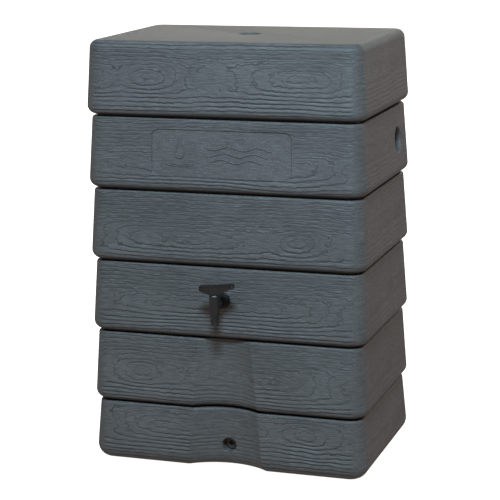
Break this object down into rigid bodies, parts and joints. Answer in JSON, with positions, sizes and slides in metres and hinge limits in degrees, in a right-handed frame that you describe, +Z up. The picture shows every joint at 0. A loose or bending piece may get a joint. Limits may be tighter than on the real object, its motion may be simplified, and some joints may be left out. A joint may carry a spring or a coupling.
{
  "type": "rain barrel",
  "caption": "Free-standing rectangular rain barrel with flared weatherboard tiers, wood-grain relief, lift-off lid, quarter-turn tap and a drain plug in a front scoop.",
  "frame": {"origin": "centre of the flat underside that the barrel stands on", "axes": "+Z up, the tall way; +Y from the front, with the tap, to the back; +X to the right seen from the front"},
  "size_m": [0.69, 0.5374, 1.03],
  "materials": {
    "tank": "matt moulded wood grain",
    "lid": "matt moulded wood grain",
    "tap_plastic": "satin moulded",
    "spindle": "smooth moulded",
    "rubber": "matt",
    "brass": "turned",
    "steel": "plain"
  },
  "bodies": {
    "tank": {"tank_shell": "tank", "tap_bush": "brass", "drain_bush": "brass", "tap_gasket": "rubber", "tap_flange": "tap_plastic", "tap_body": "tap_plastic", "tap_nozzle": "tap_plastic", "nozzle_ring": "rubber", "coupling_ring": "rubber"},
    "lid": {"lid": "lid"},
    "tap_valve": {"tap_spindle": "spindle", "spindle_rings": "rubber", "tap_handle": "tap_plastic", "handle_screw": "steel"},
    "drain_stopper": {"drain_plug": "tap_plastic", "drain_ring": "rubber"}
  },
  "joints": [
    {"name": "lid_lift", "type": "slide", "parent": "tank", "child": "lid", "axis": [0, 0, 1], "range_m": [0, 0.3]},
    {"name": "tap_turn", "type": "hinge", "parent": "tank", "child": "tap_valve", "pos_m": [0, -0.29011, 0.424], "axis": [0, 0, -1], "range_deg": [0, 90]},
    {"name": "drain_pull", "type": "slide", "parent": "tank", "child": "drain_stopper", "axis": [0, -1, 0], "range_m": [0, 0.06]}
  ]
}
